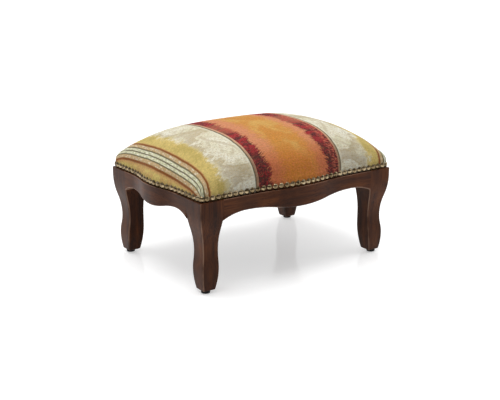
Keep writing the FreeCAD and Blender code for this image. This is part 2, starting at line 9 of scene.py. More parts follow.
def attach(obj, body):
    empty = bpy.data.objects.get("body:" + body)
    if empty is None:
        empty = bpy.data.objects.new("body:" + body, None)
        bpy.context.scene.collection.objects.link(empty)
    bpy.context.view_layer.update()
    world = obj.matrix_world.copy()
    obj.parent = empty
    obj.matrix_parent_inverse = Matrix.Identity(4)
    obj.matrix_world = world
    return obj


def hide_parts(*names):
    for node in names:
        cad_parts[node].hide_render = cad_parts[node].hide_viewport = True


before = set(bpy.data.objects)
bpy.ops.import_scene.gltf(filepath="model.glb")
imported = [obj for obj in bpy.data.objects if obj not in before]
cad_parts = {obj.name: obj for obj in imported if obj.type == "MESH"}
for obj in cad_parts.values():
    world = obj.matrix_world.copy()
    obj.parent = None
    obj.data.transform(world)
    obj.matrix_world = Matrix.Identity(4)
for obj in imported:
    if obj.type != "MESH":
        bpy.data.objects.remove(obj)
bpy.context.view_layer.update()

# Looks of the upholstered footstool. Lengths are in millimetres, as in the part's source, and MM turns
# them into metres. +X runs along the stool, +Y to the back and +Z up. The origin is on the floor, under
# the middle of the stool.
MM = 0.001

# Sizes shared with the part's source
LENGTH = 450.0
DEPTH = 330.0
LEDGE_HEIGHT = 178.0
CROWN_TOP = 271.5
RAIL_THICKNESS = 26.0
RAIL_SWELL = 10.0
LONG_SWELL_REACH = 115.0
SHORT_SWELL_REACH = 85.0
POST_SIDE = 50.0
COVER_INSET = 4.3
COVER_THICKNESS = 1.5
COVER_CORNER = 7.0
COVER_WALL = 17.0
PAD_INSET = 13.8
BURLAP_BOTTOM = 195.6
BURLAP_THICKNESS = 0.8
FOAM_BOTTOM = 196.6
LONG_CROWN = (2.7, 2.87)
SHORT_CROWN = (2.14, 2.84)
NAIL_PITCH = 12.4
NAIL_RISE = 6.2
NAIL_END = 12.5
SEAT_GAP = 0.2
DUST_DEPTH = 23.0
DUST_FLANGE = 9.0
DUST_THICKNESS = 0.6

HALF_X = LENGTH / 2 - COVER_INSET
HALF_Y = DEPTH / 2 - COVER_INSET
CROWN_START = LEDGE_HEIGHT + COVER_WALL
CROWN_RISE = CROWN_TOP - CROWN_START
NAIL_HEIGHT = LEDGE_HEIGHT + NAIL_RISE

# Camera, fitted to the photograph
CAMERA_PLACE = (-1127.4, -1592.1, 682.9)
CAMERA_YAW = 0.6154
CAMERA_PITCH = 0.2864
CAMERA_LENS = 72.2
CAMERA_SENSOR = 36.0

WHITE = (1.0, 1.0, 1.0, 1.0)
UP = 2  # the number of the upright axis


def srgb(red, green, blue):
    """A colour written as 0 to 255, as the linear colour that shaders take."""
    def linear(value):
        value /= 255
        return value / 12.92 if value <= 0.04045 else ((value + 0.055) / 1.055) ** 2.4
    return (linear(red), linear(green), linear(blue), 1.0)


# Shader graphs

class Graph:
    """The nodes of a material or world, added one after another."""

    def __init__(self, owner):
        owner.use_nodes = True
        self.owner = owner
        self.tree = owner.node_tree
        self.tree.nodes.clear()

    def node(self, kind, settings=None, inputs=None):
        node = self.tree.nodes.new(kind)
        for key, value in (settings or {}).items():
            setattr(node, key, value)
        for key, value in (inputs or {}).items():
            self.put(node.inputs[key], value)
        return node

    def put(self, socket, value):
        if isinstance(value, bpy.types.NodeSocket):
            self.tree.links.new(value, socket)
        else:
            socket.default_value = value

    def math(self, operation, first, second=0.0, third=0.0):
        node = self.node("ShaderNodeMath", {"operation": operation}, {0: first, 1: second, 2: third})
        return node.outputs[0]

    def times(self, *factors):
        product = factors[0]
        for factor in factors[1:]:
            product = self.math("MULTIPLY", product, factor)
        return product

    def plus(self, first, second):
        return self.math("ADD", first, second)

    def rest(self, value):
        """What is left of 1."""
        return self.math("SUBTRACT", 1.0, value)

    def wave(self, value, length, shift=0.0):
        """A sine along a value, with that wavelength."""
        turns = 2 * math.pi / length
        return self.math("SINE", self.math("MULTIPLY_ADD", value, turns, shift))

    def weave(self, first, second, pitch):
        """0 to 1 over a plain weave of threads with that pitch."""
        crossing = self.times(self.wave(first, pitch), self.wave(second, pitch))
        return self.math("MULTIPLY_ADD", crossing, 0.5, 0.5)

    def step(self, value, low, high):
        """0 at low, 1 at high, smooth between. It falls with the value where high is less than low."""
        node = self.node(
            "ShaderNodeMapRange",
            {"interpolation_type": "SMOOTHSTEP"},
            {"Value": value, "From Min": low, "From Max": high},
        )
        return node.outputs["Result"]

    def between(self, value, low, high, soft):
        """1 from low to high, fading to 0 over soft on both sides."""
        inside = self.step(value, low - soft, low + soft)
        return self.times(inside, self.rest(self.step(value, high - soft, high + soft)))

    def fit(self, value, low, high):
        """A value of 0 to 1 spread from low to high."""
        node = self.node("ShaderNodeMapRange", {}, {"Value": value, "To Min": low, "To Max": high})
        return node.outputs["Result"]

    def mix(self, share, first, second, blend="MIX"):
        node = self.node("ShaderNodeMix", {"data_type": "RGBA", "blend_type": blend})
        self.put(node.inputs[0], share)
        self.put(node.inputs[6], first)
        self.put(node.inputs[7], second)
        return node.outputs[2]

    def join(self, x, y, z=0.0):
        return self.node("ShaderNodeCombineXYZ", {}, {0: x, 1: y, 2: z}).outputs[0]

    def parts(self, vector):
        return self.node("ShaderNodeSeparateXYZ", {}, {0: vector}).outputs

    def noise(self, vector, scale=1.0, detail=2.0, roughness=0.5):
        inputs = {"Vector": vector, "Scale": scale, "Detail": detail, "Roughness": roughness}
        return self.node("ShaderNodeTexNoise", {}, inputs).outputs[0]

    def ramp(self, value, stops):
        node = self.node("ShaderNodeValToRGB", {}, {0: value})
        elements = node.color_ramp.elements
        while len(elements) < len(stops):
            elements.new(0.5)
        for element, (place, colour) in zip(elements, stops):
            element.position = place
            element.color = colour
        return node.outputs[0]

    def place(self, scale=(1.0, 1.0, 1.0)):
        """The surface's place in the shared frame, in metres, scaled along each axis."""
        coordinates = self.node("ShaderNodeTexCoord").outputs["Object"]
        return self.node("ShaderNodeMapping", {}, {"Vector": coordinates, "Scale": scale}).outputs[0]

    def bump(self, height, distance, normal=None):
        inputs = {"Height": height, "Distance": distance}
        if normal is not None:
            inputs["Normal"] = normal
        return self.node("ShaderNodeBump", {}, inputs).outputs[0]

    def surface(self, **inputs):
        names = {key.replace("_", " "): value for key, value in inputs.items()}
        shader = self.node("ShaderNodeBsdfPrincipled", {}, names)
        self.finish(shader, "ShaderNodeOutputMaterial")
        return self.owner

    def finish(self, shader, kind):
        output = self.node(kind)
        self.tree.links.new(shader.outputs[0], output.inputs[0])


def material_graph(name):
    return Graph(bpy.data.materials.new(name))


def dress(node_names, material):
    for name in node_names:
        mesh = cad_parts[name].data
        mesh.materials.clear()
        mesh.materials.append(material)


# Materials of the frame

WOOD_PORE = srgb(28, 13, 7)
WOOD_DARK = srgb(48, 26, 17)
WOOD_MIDDLE = srgb(85, 46, 25)
WOOD_LIGHT = srgb(114, 67, 37)
WOOD_AMBER = srgb(122, 70, 34)
# Pale edge colour: wear of the stain together with a painted highlight
WOOD_WEAR_AND_HIGHLIGHT = srgb(172, 140, 120)
RAW_DARK = srgb(176, 135, 92)
RAW_LIGHT = srgb(206, 168, 122)
RAW_FLECK = srgb(140, 100, 64)
BRASS_DARK = srgb(72, 58, 38)
BRASS_MIDDLE = srgb(140, 122, 92)
BRASS_LIGHT = srgb(190, 172, 140)
BRASS_PIT = srgb(52, 38, 24)
ZINC_DARK = srgb(150, 152, 156)
ZINC_LIGHT = srgb(190, 192, 196)
PLASTIC_BLACK = srgb(8, 8, 8)
PLASTIC_SCUFF = srgb(26, 25, 24)
WEBBING_DARK = srgb(104, 82, 54)
WEBBING_LIGHT = srgb(156, 128, 88)
BURLAP_DARK = srgb(118, 92, 58)
BURLAP_LIGHT = srgb(176, 146, 102)
CAMBRIC_DARK = srgb(16, 16, 17)
CAMBRIC_LIGHT = srgb(44, 43, 43)


def rounded_edge(graph, along):
    """1 on the rounded edges of a piece: a leg's upright ones, or the lower and upper ones of a rail."""
    normal = graph.node("ShaderNodeNewGeometry").outputs["Normal"]
    x, y, z = [graph.math("ABSOLUTE", part) for part in graph.parts(normal)]
    if along == UP:
        smaller = graph.math("MINIMUM", x, y)
    else:
        smaller = graph.math("MINIMUM", graph.math("MAXIMUM", x, y), z)
    return graph.step(smaller, 0.2, 0.5)


def show_wood(name, along):
    """Dark stained and waxed wood with its grain along an axis, its edges paler: partly the stain's wear,
    partly a painted highlight.
    """
    graph = material_graph(name)
    fine = [900.0] * 3
    fine[along] = 22.0
    broad = [75.0] * 3
    broad[along] = 5.0
    streaks = graph.noise(graph.place(fine), 1.0, 3.0, 0.6)
    bands = graph.noise(graph.place(broad), 1.0, 4.0, 0.55)
    clouds = graph.noise(graph.place((16.0, 16.0, 16.0)), 1.0, 3.0)
    tone = graph.plus(graph.times(streaks, 0.35), graph.times(bands, 0.65))
    stain = graph.ramp(tone, [(0.34, WOOD_DARK), (0.5, WOOD_MIDDLE), (0.68, WOOD_LIGHT)])
    stain = graph.mix(graph.fit(graph.step(clouds, 0.6, 0.3), 0.0, 0.5), stain, WOOD_DARK)
    stain = graph.mix(graph.fit(graph.step(clouds, 0.56, 0.74), 0.0, 0.4), stain, WOOD_AMBER)
    pores = graph.step(streaks, 0.34, 0.44)
    stain = graph.mix(graph.fit(pores, 0.5, 0.0), stain, WOOD_PORE)
    # The rounded edges are paled: partly wear of the stain, partly a painted highlight on them
    wear_and_highlight = graph.times(rounded_edge(graph, along), graph.step(clouds, 0.3, 0.58), 0.62)
    stain = graph.mix(wear_and_highlight, stain, WOOD_WEAR_AND_HIGHLIGHT)
    rough = graph.fit(graph.plus(graph.times(bands, 0.6), graph.times(streaks, 0.4)), 0.26, 0.46)
    normal = graph.bump(streaks, 0.00012)
    normal = graph.bump(clouds, 0.0012, normal)
    return graph.surface(Base_Color=stain, Roughness=rough, Normal=normal, IOR=1.21)


def plain_wood():
    graph = material_graph("raw_beech")
    streaks = graph.noise(graph.place((120.0, 120.0, 500.0)), 1.0, 3.0)
    flecks = graph.noise(graph.place((700.0, 700.0, 90.0)), 1.0, 1.0)
    tone = graph.ramp(streaks, [(0.3, RAW_DARK), (0.7, RAW_LIGHT)])
    tone = graph.mix(graph.fit(graph.step(flecks, 0.6, 0.7), 0.0, 0.4), tone, RAW_FLECK)
    return graph.surface(Base_Color=tone, Roughness=0.6, Normal=graph.bump(streaks, 0.0001))


def antique_brass():
    graph = material_graph("antique_brass")
    patches = graph.noise(graph.place((130.0, 130.0, 130.0)), 1.0, 3.0, 0.6)
    pits = graph.noise(graph.place((1300.0, 1300.0, 1300.0)), 1.0, 2.0)
    tone = graph.ramp(patches, [(0.34, BRASS_DARK), (0.52, BRASS_MIDDLE), (0.68, BRASS_LIGHT)])
    tone = graph.mix(graph.fit(graph.step(pits, 0.36, 0.46), 0.5, 0.0), tone, BRASS_PIT)
    rough = graph.fit(patches, 0.2, 0.1)
    return graph.surface(Base_Color=tone, Metallic=1.0, Roughness=rough, Normal=graph.bump(pits, 0.0001))


def steel():
    graph = material_graph("zinc_plate")
    lines = graph.noise(graph.place((2000.0, 300.0, 300.0)), 1.0, 2.0)
    tone = graph.ramp(lines, [(0.3, ZINC_DARK), (0.7, ZINC_LIGHT)])
    return graph.surface(Base_Color=tone, Metallic=1.0, Roughness=graph.fit(lines, 0.28, 0.42))


def black_plastic():
    graph = material_graph("black_plastic")
    grain = graph.noise(graph.place((1500.0, 1500.0, 1500.0)), 1.0, 2.0)
    scuffs = graph.noise(graph.place((250.0, 250.0, 60.0)), 1.0, 3.0)
    tone = graph.ramp(scuffs, [(0.4, PLASTIC_BLACK), (0.75, PLASTIC_SCUFF)])
    return graph.surface(Base_Color=tone, Roughness=0.56, Normal=graph.bump(grain, 0.00006), IOR=1.3)


def woven(name, dark, light, pitch, rough):
    """A plain weave seen from above or below, with threads along X and Y."""
    graph = material_graph(name)
    x, y, _ = graph.parts(graph.place())
    weave = graph.weave(x, y, pitch * MM)
    slubs = graph.noise(graph.place((60.0, 400.0, 60.0)), 1.0, 3.0)
    tone = graph.mix(graph.plus(graph.times(weave, 0.5), graph.times(slubs, 0.5)), dark, light)
    return graph.surface(Base_Color=tone, Roughness=rough, Normal=graph.bump(weave, 0.0003))


# The seat's form

SEAT_CELL = 1.8
WALL_RINGS = 10
CROWN_SAMPLES = 4001
CROWN_CROWDING = 6  # the samples lie closer towards the edge, where the crown is steep


def swell_at(along, reach):
    """How far a rail stands out past the posts at a place along it."""
    half = reach / 2
    turn = 2 * math.atan2(RAIL_SWELL / 2, half)
    radius = half / math.sin(turn)
    along = np.abs(along)
    near_end = along > half
    run = np.where(near_end, reach - along, along)
    rise = radius - np.sqrt(np.maximum(0.0, radius**2 - run**2))
    return np.where(along >= reach, 0.0, np.where(near_end, rise, RAIL_SWELL - rise))


def crown_share(x, y):
    """The crown's height over its foot, from 0 at the edge to 1 in the middle."""
    (x_power, x_root), (y_power, y_root) = LONG_CROWN, SHORT_CROWN
    along = np.maximum(0.0, 1 - np.abs(x / HALF_X) ** x_power) ** (1 / x_root)
    across = np.maximum(0.0, 1 - np.abs(y / HALF_Y) ** y_power) ** (1 / y_root)
    return along * across


def even_places(half, share):
    """Places from -half to half, evenly apart along the crown's middle section."""
    fine = half * (1 - (1 - np.linspace(0, 1, CROWN_SAMPLES)) ** CROWN_CROWDING)
    height = CROWN_RISE * share(fine)
    run = np.concatenate([[0.0], np.cumsum(np.hypot(np.diff(fine), np.diff(height)))])
    count = int(round(run[-1] / SEAT_CELL))
    side = np.interp(np.linspace(0, run[-1], count + 1), run, fine)
    return np.concatenate([-side[:0:-1], side])


def crowned(x, y):
    """Points of the seat's surface over a grid of places, its sides swelling and its corners rounded."""
    share = crown_share(x, y)
    p = np.abs(x) - (HALF_X - COVER_CORNER)
    q = np.abs(y) - (HALF_Y - COVER_CORNER)
    in_corner = (p > 0) & (q > 0)
    pull = np.where(in_corner, np.maximum(p, q) / np.maximum(1e-9, np.hypot(p, q)), 1.0)
    place_x = np.where(in_corner, np.sign(x) * (HALF_X - COVER_CORNER + p * pull), x)
    place_y = np.where(in_corner, np.sign(y) * (HALF_Y - COVER_CORNER + q * pull), y)
    fade = 1 - share
    out_x = swell_at(y, SHORT_SWELL_REACH) * fade * (x / HALF_X) ** 2
    out_y = swell_at(x, LONG_SWELL_REACH) * fade * (y / HALF_Y) ** 2
    height = CROWN_START + share * CROWN_RISE
    return np.stack([place_x + np.sign(x) * out_x, place_y + np.sign(y) * out_y, height], axis=-1)


def run_from_middle(points, axis):
    """Distance along grid lines from the middle line, signed."""
    steps = np.linalg.norm(np.diff(points, axis=axis), axis=-1)
    middle = points.shape[axis] // 2
    start = np.zeros_like(np.take(steps, [0], axis))
    total = np.concatenate([start, np.cumsum(steps, axis=axis)], axis=axis)
    return total - np.take(total, [middle], axis)


def rim_of(columns, rows):
    """Grid places around the edge, counter-clockwise from the front left corner."""
    front = [(i, 0) for i in range(columns - 1)]
    right = [(columns - 1, j) for j in range(rows - 1)]
    back = [(i, rows - 1) for i in range(columns - 1, 0, -1)]
    left = [(0, j) for j in range(rows - 1, 0, -1)]
    return np.array(front + right + back + left)


def grid_cells(index):
    """The four corners of each cell of a grid of point numbers."""
    return np.stack([index[:-1, :-1], index[1:, :-1], index[1:, 1:], index[:-1, 1:]], axis=-1)


def cloth_mesh(name, points, cloth, polygons):
    """A smooth mesh whose UV map is in metres of cloth."""
    data = bpy.data.meshes.new(name)
    data.from_pydata((points * MM).tolist(), [], polygons)
    corners = np.zeros(len(data.loops), dtype=np.int32)
    data.loops.foreach_get("vertex_index", corners)
    layer = data.uv_layers.new(name="cloth")
    layer.uv.foreach_set("vector", (cloth[corners] * MM).astype(np.float32).ravel())
    data.shade_smooth()
    return data


def seat_mesh(name):
    """The padded seat: crown, upright wall and a closed underside.

    Also each point's place in the cloth, and how many of the points are on the outside.
    """
    xs = even_places(HALF_X, lambda x: crown_share(x, 0.0))
    ys = even_places(HALF_Y, lambda y: crown_share(0.0, y))
    grid_x, grid_y = np.meshgrid(xs, ys, indexing="ij")
    top = crowned(grid_x, grid_y)
    cloth_u = run_from_middle(top, 0)
    cloth_v = run_from_middle(top, 1)
    columns, rows = top.shape[:2]
    index = np.arange(columns * rows).reshape(columns, rows)
    faces = [grid_cells(index).reshape(-1, 4)]
    rim = rim_of(columns, rows)
    at_rim = (rim[:, 0], rim[:, 1])
    edge, edge_u, edge_v = top[at_rim], cloth_u[at_rim], cloth_v[at_rim]
    on_end = (rim[:, 0] == 0) | (rim[:, 0] == columns - 1)
    on_long = (rim[:, 1] == 0) | (rim[:, 1] == rows - 1)
    points = [top.reshape(-1, 3)]
    cloth = [np.stack([cloth_u, cloth_v], axis=-1).reshape(-1, 2)]
    rings = [index[at_rim]]

    def add_ring(ring_points, ring_u, ring_v):
        first = sum(len(block) for block in points)
        points.append(ring_points)
        cloth.append(np.stack([ring_u, ring_v], axis=-1))
        rings.append(np.arange(first, first + len(rim)))

    wall_foot = LEDGE_HEIGHT + SEAT_GAP
    for step in range(1, WALL_RINGS + 1):
        fall = (CROWN_START - wall_foot) * step / WALL_RINGS
        ring_u = edge_u + np.where(on_end, np.sign(edge_u) * fall, 0.0)
        ring_v = edge_v + np.where(on_long, np.sign(edge_v) * fall, 0.0)
        add_ring(edge - (0.0, 0.0, fall), ring_u, ring_v)
    outer = sum(len(block) for block in points)
    shrink = 1 - (COVER_THICKNESS - SEAT_GAP) / np.hypot(edge[:, 0], edge[:, 1])
    inner = edge * np.stack([shrink, shrink, np.ones_like(shrink)], axis=-1)
    for height in (wall_foot, FOAM_BOTTOM):
        inner[:, 2] = height
        add_ring(inner.copy(), ring_u, ring_v)
    for upper, lower in zip(rings, rings[1:]):
        faces.append(np.stack([upper, lower, np.roll(lower, -1), np.roll(upper, -1)], axis=-1))
    polygons = np.concatenate(faces).tolist() + [rings[-1][::-1].tolist()]
    places = np.concatenate(cloth)
    return cloth_mesh(name, np.concatenate(points), places, polygons), places, outer


def read_points(mesh):
    points = np.zeros(len(mesh.vertices) * 3, dtype=np.float32)
    mesh.vertices.foreach_get("co", points)
    return points.reshape(-1, 3).astype(float) / MM


def read_normals(mesh):
    normals = np.zeros(len(mesh.vertices) * 3, dtype=np.float32)
    mesh.vertex_normals.foreach_get("vector", normals)
    return normals.reshape(-1, 3).astype(float)


def write_points(mesh, points):
    mesh.vertices.foreach_set("co", (points * MM).astype(np.float32).ravel())
    mesh.update()


# Cloth over padding

SIM_VOXEL = 5.5
SIM_FRAMES = 20
SIM_PRESSURE = 4.0
SIM_SHRINK = 1.6  # the pad starts smaller, and the pressure fills it out again
SIM_CAP = 3.0
HELD_BELOW = 197.0  # the nails and the webbing hold the cloth from here down
CARRY_COUNT = 8  # the points of the coarse cloth that move one point of the finer one
CARRY_SOFT = 4.0  # square millimetres that even out their weights


def settled(piece):
    """Start points of a remeshed copy of the piece, and how far the filled cloth moves from each."""
    scene = bpy.context.scene
    copy = bpy.data.objects.new("settling", piece.data.copy())
    scene.collection.objects.link(copy)
    voxels = copy.modifiers.new("voxels", "REMESH")
    voxels.mode = "VOXEL"
    voxels.voxel_size = SIM_VOXEL * MM
    evaluated = copy.evaluated_get(bpy.context.evaluated_depsgraph_get())
    copy.data = bpy.data.meshes.new_from_object(evaluated)
    copy.modifiers.clear()
    start = read_points(copy.data)
    held = np.where(start[:, 2] < HELD_BELOW)[0]
    shrink = np.full(len(start), SIM_SHRINK)
    shrink[held] = 0.0
    write_points(copy.data, start - read_normals(copy.data) * shrink[:, None])
    group = copy.vertex_groups.new(name="held")
    group.add(held.tolist(), 1.0, "REPLACE")
    cloth = copy.modifiers.new("cloth", "CLOTH")
    settings = cloth.settings
    settings.quality = 5
    settings.mass = 0.3
    settings.tension_stiffness = 15.0
    settings.compression_stiffness = 15.0
    settings.bending_stiffness = 0.6
    settings.use_pressure = True
    settings.uniform_pressure_force = SIM_PRESSURE
    settings.vertex_group_mass = "held"
    settings.effector_weights.gravity = 0.0
    for number in range(1, SIM_FRAMES + 1):
        scene.frame_set(number)
    evaluated = copy.evaluated_get(bpy.context.evaluated_depsgraph_get())
    filled = bpy.data.meshes.new_from_object(evaluated)
    offsets = read_points(filled) - start
    length = np.linalg.norm(offsets, axis=1)
    offsets *= np.minimum(1.0, SIM_CAP / np.maximum(1e-6, length))[:, None]
    bpy.data.objects.remove(copy)
    bpy.data.meshes.remove(filled)
    scene.frame_set(1)
    return start, offsets


def carried_over(start, offsets, points):
    """The offsets of a coarse cloth at each point of a finer one."""
    tree = KDTree(len(start))
    for number, point in enumerate(start):
        tree.insert(point, number)
    tree.balance()
    moves = np.zeros_like(points)
    for number, point in enumerate(points):
        found = tree.find_n(point, CARRY_COUNT)
        weights = np.array([1.0 / (distance**2 + CARRY_SOFT) for _, _, distance in found])
        near = offsets[[index for _, index, _ in found]]
        moves[number] = weights @ near / weights.sum()
    return moves


# The course of the stripes over the cloth, in millimetres of cloth: u along the stool and v across it

PATTERN_SHIFT = 1.5  # the middle stripe lies this far left of the stool's middle
PATTERN_REPEAT = 168.0  # along v
BOW_MIDDLE = -40.0  # the stripes bow outwards most at this v
BOW = 6.2e-9  # how much a stripe bows, for each square of its distance and of v
DRIFT = 2.5  # how far the right side's stripes drift inwards towards the back
DRIFT_START = -110.0
DRIFT_END = -20.0

# Fine relief of the cover

CORD_MIDDLE = 98.5
CORD_WIDTH = 1.7
CORD_RAISE = 0.5
RUST_MIDDLES = (207.2, 246.4)
RUST_WIDTH = 1.8
RUST_RAISE = 0.25
GATHER = 0.8  # how far the cloth stands out between two nails, over where a nail draws it in
GATHER_LEVEL = 0.3  # the share of it that lies below the plain surface
GATHER_CORNER = 0.4  # the share beyond the last nail of a side
GATHER_TOP = 190.0  # the gathers fade out above this height
GATHER_FADE = 9.0
GATHER_END = 225.0
PLEAT = 1.1
PLEAT_REACH = 26.0
PLEAT_TOP = 214.0
PLEAT_FADE = 5.0
PLEAT_FOLD = (-1.6, 2.4)  # place beside the corner, and width
PLEAT_FOLD_SHARE = 0.7
PLEAT_GROOVE = (2.2, 1.5)


def bell(value, middle, width):
    """1 at the middle, falling smoothly to 0 on both sides."""
    return np.exp(-(((value - middle) / width) ** 2))


def raised_lines(cloth):
    """The cord beside the red, and the rust lines, along their bowed course."""
    u, v = cloth.T
    stripe = np.abs(u + PATTERN_SHIFT)
    back = np.clip((v - DRIFT_START) / (DRIFT_END - DRIFT_START), 0.0, 1.0)
    stripe = stripe + BOW * stripe**2 * (v - BOW_MIDDLE) ** 2 + DRIFT * back * (u > 0)
    out = CORD_RAISE * bell(stripe, CORD_MIDDLE, CORD_WIDTH)
    for line in RUST_MIDDLES:
        out = out + RUST_RAISE * bell(stripe, line, RUST_WIDTH)
    return out


def nail_phase(along, half):
    """0 at a nail and 1 midway between two, along one side."""
    run = 2 * (half - NAIL_END)
    pitch = run / round(run / NAIL_PITCH)
    return 0.5 - 0.5 * np.cos(2 * np.pi * (along + run / 2) / pitch)


def gathers(points, normals):
    """The cloth round the foot of the seat, drawn in at the nails and standing out between them."""
    x, y, z = points.T
    facing_x = np.abs(normals[:, 0]) > np.abs(normals[:, 1])
    phase = np.where(facing_x, nail_phase(y, HALF_Y), nail_phase(x, HALF_X))
    past_nails = np.where(facing_x, np.abs(y) - (HALF_Y - NAIL_END), np.abs(x) - (HALF_X - NAIL_END))
    phase = np.where(past_nails > 0, GATHER_CORNER, phase)
    fade = np.where(z < GATHER_TOP, 1.0, bell(z, GATHER_TOP, GATHER_FADE)) * (z < GATHER_END)
    return GATHER * (phase - GATHER_LEVEL) * fade


def pleats(points):
    """A fold with a groove beside it at each corner, fading out towards the crown."""
    x, y, z = points.T
    from_end = HALF_X - np.abs(x)
    from_side = HALF_Y - np.abs(y)
    beside = from_end - from_side
    near = bell(from_end, 0.0, PLEAT_REACH) * bell(from_side, 0.0, PLEAT_REACH)
    low = 1 / (1 + np.exp((z - PLEAT_TOP) / PLEAT_FADE))
    fold = PLEAT_FOLD_SHARE * bell(beside, *PLEAT_FOLD) - bell(beside, *PLEAT_GROOVE)
    return PLEAT * near * low * fold


def relief(points, normals, cloth):
    """How far the cover stands out over its plain surface at each point."""
    return raised_lines(cloth) + gathers(points, normals) + pleats(points)


# The striped cloth

ORANGE = srgb(204, 138, 56)
DEEP_ORANGE = srgb(204, 122, 40)
AMBER = srgb(210, 164, 84)
CORAL = srgb(212, 140, 98)
ROSE = srgb(200, 104, 78)
CRIMSON = srgb(162, 28, 36)
MAROON = srgb(90, 16, 20)
SOOT = srgb(50, 22, 20)
BARK = srgb(84, 56, 38)
CORD = srgb(222, 178, 142)
# A colour for painted shade on the cloth round the nails
NAIL_ROW_SHADE = srgb(64, 44, 26)
OLIVE = srgb(84, 76, 50)
SOFT_OLIVE = srgb(104, 96, 66)
CREAM = srgb(238, 233, 210)
IVORY = srgb(246, 245, 230)
MINT = srgb(222, 219, 184)
SAGE = srgb(164, 166, 122)
BEIGE = srgb(182, 162, 124)
GOLD = srgb(218, 194, 116)
MOSS = srgb(190, 168, 92)
TAN = srgb(204, 174, 126)
RUST = srgb(142, 82, 34)
RUST_EDGE = srgb(206, 156, 98)

# Where the colours change, in millimetres of cloth from the middle of the middle stripe.
# One ramp can't hold all the stops, so the stripes at the ends have their own.
STRIPES = [
    (0.0, ORANGE), (30.0, ORANGE), (50.0, CORAL), (95.8, CORAL),
    (96.6, CORD), (100.4, CORD), (101.0, OLIVE), (103.4, OLIVE),
    (104.4, CREAM), (166.0, CREAM), (180.0, GOLD), (202.5, GOLD),
    (204.6, RUST_EDGE), (205.8, RUST), (208.6, RUST), (210.0, TAN), (216.8, TAN),
]
END_STRIPES = [
    (216.4, TAN), (217.1, SOFT_OLIVE), (219.1, SOFT_OLIVE), (219.8, MINT), (224.9, MINT),
    (225.6, SOFT_OLIVE), (227.4, SOFT_OLIVE), (228.1, MINT), (233.4, MINT), (234.1, SOFT_OLIVE),
    (236.0, SOFT_OLIVE), (236.8, TAN), (243.4, TAN), (244.6, RUST), (248.2, RUST), (250.0, RUST_EDGE),
    (256.0, GOLD),
]
STRIPE_SPAN = 300.0
ENDS_FROM = (213.4, 213.6)
WOBBLE = 1.1  # how far the edges of the stripes wander

# Parts of the stripes that have second tones, in the same measure
HEART_END = (30.0, 52.0)
MIDDLE_END = (84.0, 92.0)
RED_PALE_EDGE = (76.0, 84.0)
RED_END = (95.8, 96.6)
CORD_BAND = (96.6, 100.6)
CREAM_BAND = (106.0, 172.0)
GOLD_EDGE = (150.0, 192.0)  # where the cream passes into the gold
GOLD_BAND = (172.0, 202.0)
# Where the cloth is painted paler towards the ends: painted light on the end slopes
PAINTED_LIGHT_ENDS = (200.0, 240.0)
TAN_BANDS = [(210.4, 216.2), (237.2, 243.0)]
MINT_BANDS = [(219.8, 224.9), (228.1, 233.4)]
NARROW_SOFT = 0.4
END_GOLD = (250.0, 256.0)

# The same along v. Where the first number is the higher one, the tone grows towards the front.
FRONT_END = (-176.0, -120.0)
RED_FRONT_END = (-165.0, -112.0)
RED_BACK = (-90.0, -30.0)
RED_FRONT = (-70.0, -100.0)
CORD_FRONT = (-110.0, -165.0)

RED_START = 72.0
RED_SWING = 3.0  # the inner edge of the red sways this far with the blocks
RED_RIGHT = 9.0  # the red is this much wider on the right, and again towards the back there
RED_LEFT_FRONT = 6.0  # the same on the left, at the front
BLOCK_MIDDLE = -104.0
LEAF_MIDDLE = (122.0, -85.0)
LEAF_HALF = (47.0, 76.0)
VEIN_PITCH = 24.0
VEIN_SLANT = 46.0
CORD_TWIST = 4.2
CORD_SLANT = 1.6
THREAD_PITCH = 0.75


